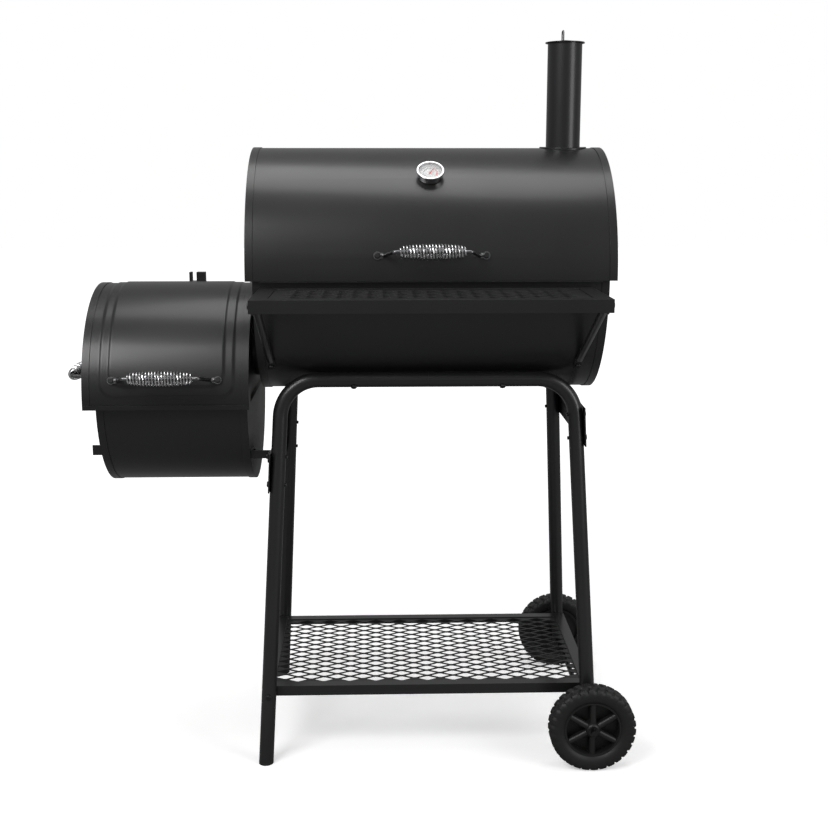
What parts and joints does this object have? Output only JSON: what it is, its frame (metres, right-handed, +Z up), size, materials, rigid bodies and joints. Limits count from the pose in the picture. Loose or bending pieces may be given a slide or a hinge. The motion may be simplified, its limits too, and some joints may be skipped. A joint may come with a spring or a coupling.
{
  "type": "offset smoker",
  "caption": "Barrel-shaped charcoal smoker on a tubular trolley, with a side firebox, hinged lids, short chimney with swivel cap, lid thermometer, sprung handles, wire shelves and rear wheels",
  "frame": {"origin": "On the ground, under the centre of the whole smoker's bounding box.", "axes": "+Z is up and is the longest extent, +X points from the firebox to the wheels, and -Y points to the cook."},
  "size_m": [0.9855, 0.654, 1.25],
  "materials": {
    "barrel_paint": "semi-gloss black heat-proof paint",
    "firebox_paint": "semi-gloss black heat-proof paint",
    "chimney_paint": "semi-gloss black heat-proof paint",
    "frame_paint": "semi-gloss black powder coat",
    "mesh_paint": "semi-gloss black powder coat",
    "chrome": "bright chrome plating",
    "handle_steel": "dulled chrome plating",
    "zinc_steel": "zinc plating",
    "grate_steel": "plated wire",
    "tyre": "black moulded plastic tread",
    "hub": "black moulded plastic",
    "plug": "black moulded plastic",
    "glass": "clear glass",
    "dial": "white printed face",
    "needle": "red paint"
  },
  "bodies": {
    "frame": {"barrel_tub": "barrel_paint", "barrel_end_left": "barrel_paint", "barrel_end_right": "barrel_paint", "throat_collar": "barrel_paint", "lid_hinge_base": "barrel_paint", "firebox_lid_hinge_base": "barrel_paint", "charcoal_pan": "barrel_paint", "firebox_tub": "firebox_paint", "firebox_end_left": "firebox_paint", "firebox_end_right": "firebox_paint", "firebox_ledge": "firebox_paint", "link_strap": "firebox_paint", "front_left_leg": "frame_paint", "front_right_leg": "frame_paint", "rear_left_leg": "frame_paint", "rear_right_leg": "frame_paint", "side_plate_left": "frame_paint", "side_plate_right": "frame_paint", "shelf_strut_left": "frame_paint", "shelf_strut_right": "frame_paint", "front_shelf_frame": "frame_paint", "lower_shelf_frame": "frame_paint", "leg_sleeves": "frame_paint", "front_shelf_mesh": "mesh_paint", "lower_shelf_mesh": "mesh_paint", "frame_bolts": "zinc_steel", "damper_rivet": "zinc_steel", "axle": "zinc_steel", "axle_retainers": "zinc_steel", "cooking_grates": "grate_steel", "firebox_grate": "grate_steel", "foot_plugs": "plug"},
    "front_wheel": {"front_tyre": "tyre", "front_hub": "hub"},
    "rear_wheel": {"rear_tyre": "tyre", "rear_hub": "hub"},
    "damper": {"damper_disc": "firebox_paint"},
    "lid": {"lid_shell": "barrel_paint", "lid_end_left": "barrel_paint", "lid_end_right": "barrel_paint", "lid_hinge_leaf": "barrel_paint", "lid_handle_rod": "handle_steel", "lid_handle_coil": "chrome", "lid_screws": "zinc_steel", "thermometer_case": "chrome", "thermometer_dial": "dial", "thermometer_glass": "glass", "thermometer_stem": "zinc_steel", "chimney_tube": "chimney_paint"},
    "needle": {"thermometer_needle": "needle"},
    "cap": {"chimney_cap": "chimney_paint", "cap_loop": "handle_steel"},
    "firebox_lid": {"firebox_lid_shell": "firebox_paint", "firebox_lid_end": "firebox_paint", "firebox_lid_seal": "firebox_paint", "firebox_lid_hinge_leaf": "barrel_paint", "firebox_handle_rods": "handle_steel", "firebox_handle_coils": "chrome", "firebox_lid_screws": "zinc_steel", "firebox_lid_bracket": "firebox_paint"}
  },
  "joints": [
    {"name": "lid_hinge", "type": "hinge", "parent": "frame", "child": "lid", "pos_m": [0.1408, 0.2935, 0.84], "axis": [-1, 0, 0], "range_deg": [0, 90]},
    {"name": "firebox_lid_hinge", "type": "hinge", "parent": "frame", "child": "firebox_lid", "pos_m": [-0.2973, 0.2655, 0.6345], "axis": [-1, 0, 0], "range_deg": [0, 80]},
    {"name": "chimney_cap_swivel", "type": "hinge", "parent": "lid", "child": "cap", "pos_m": [0.3778, 0.109, 1.229], "axis": [0, 0, 1], "range_deg": [-110, 110]},
    {"name": "damper_swing", "type": "hinge", "parent": "frame", "child": "damper", "pos_m": [-0.4184, 0.038, 0.531], "axis": [1, 0, 0], "range_deg": [-90, 90]},
    {"name": "front_wheel_spin", "type": "hinge", "parent": "frame", "child": "front_wheel", "pos_m": [0.41827, -0.154, 0.0745], "axis": [0, 1, 0], "continuous": true},
    {"name": "rear_wheel_spin", "type": "hinge", "parent": "frame", "child": "rear_wheel", "pos_m": [0.41827, 0.3, 0.0745], "axis": [0, 1, 0], "continuous": true},
    {"name": "thermometer_needle_turn", "type": "hinge", "parent": "lid", "child": "needle", "pos_m": [0.1408, -0.0606, 1.00529], "axis": [0, -0.6293, 0.7771], "range_deg": [-105, 165]}
  ]
}
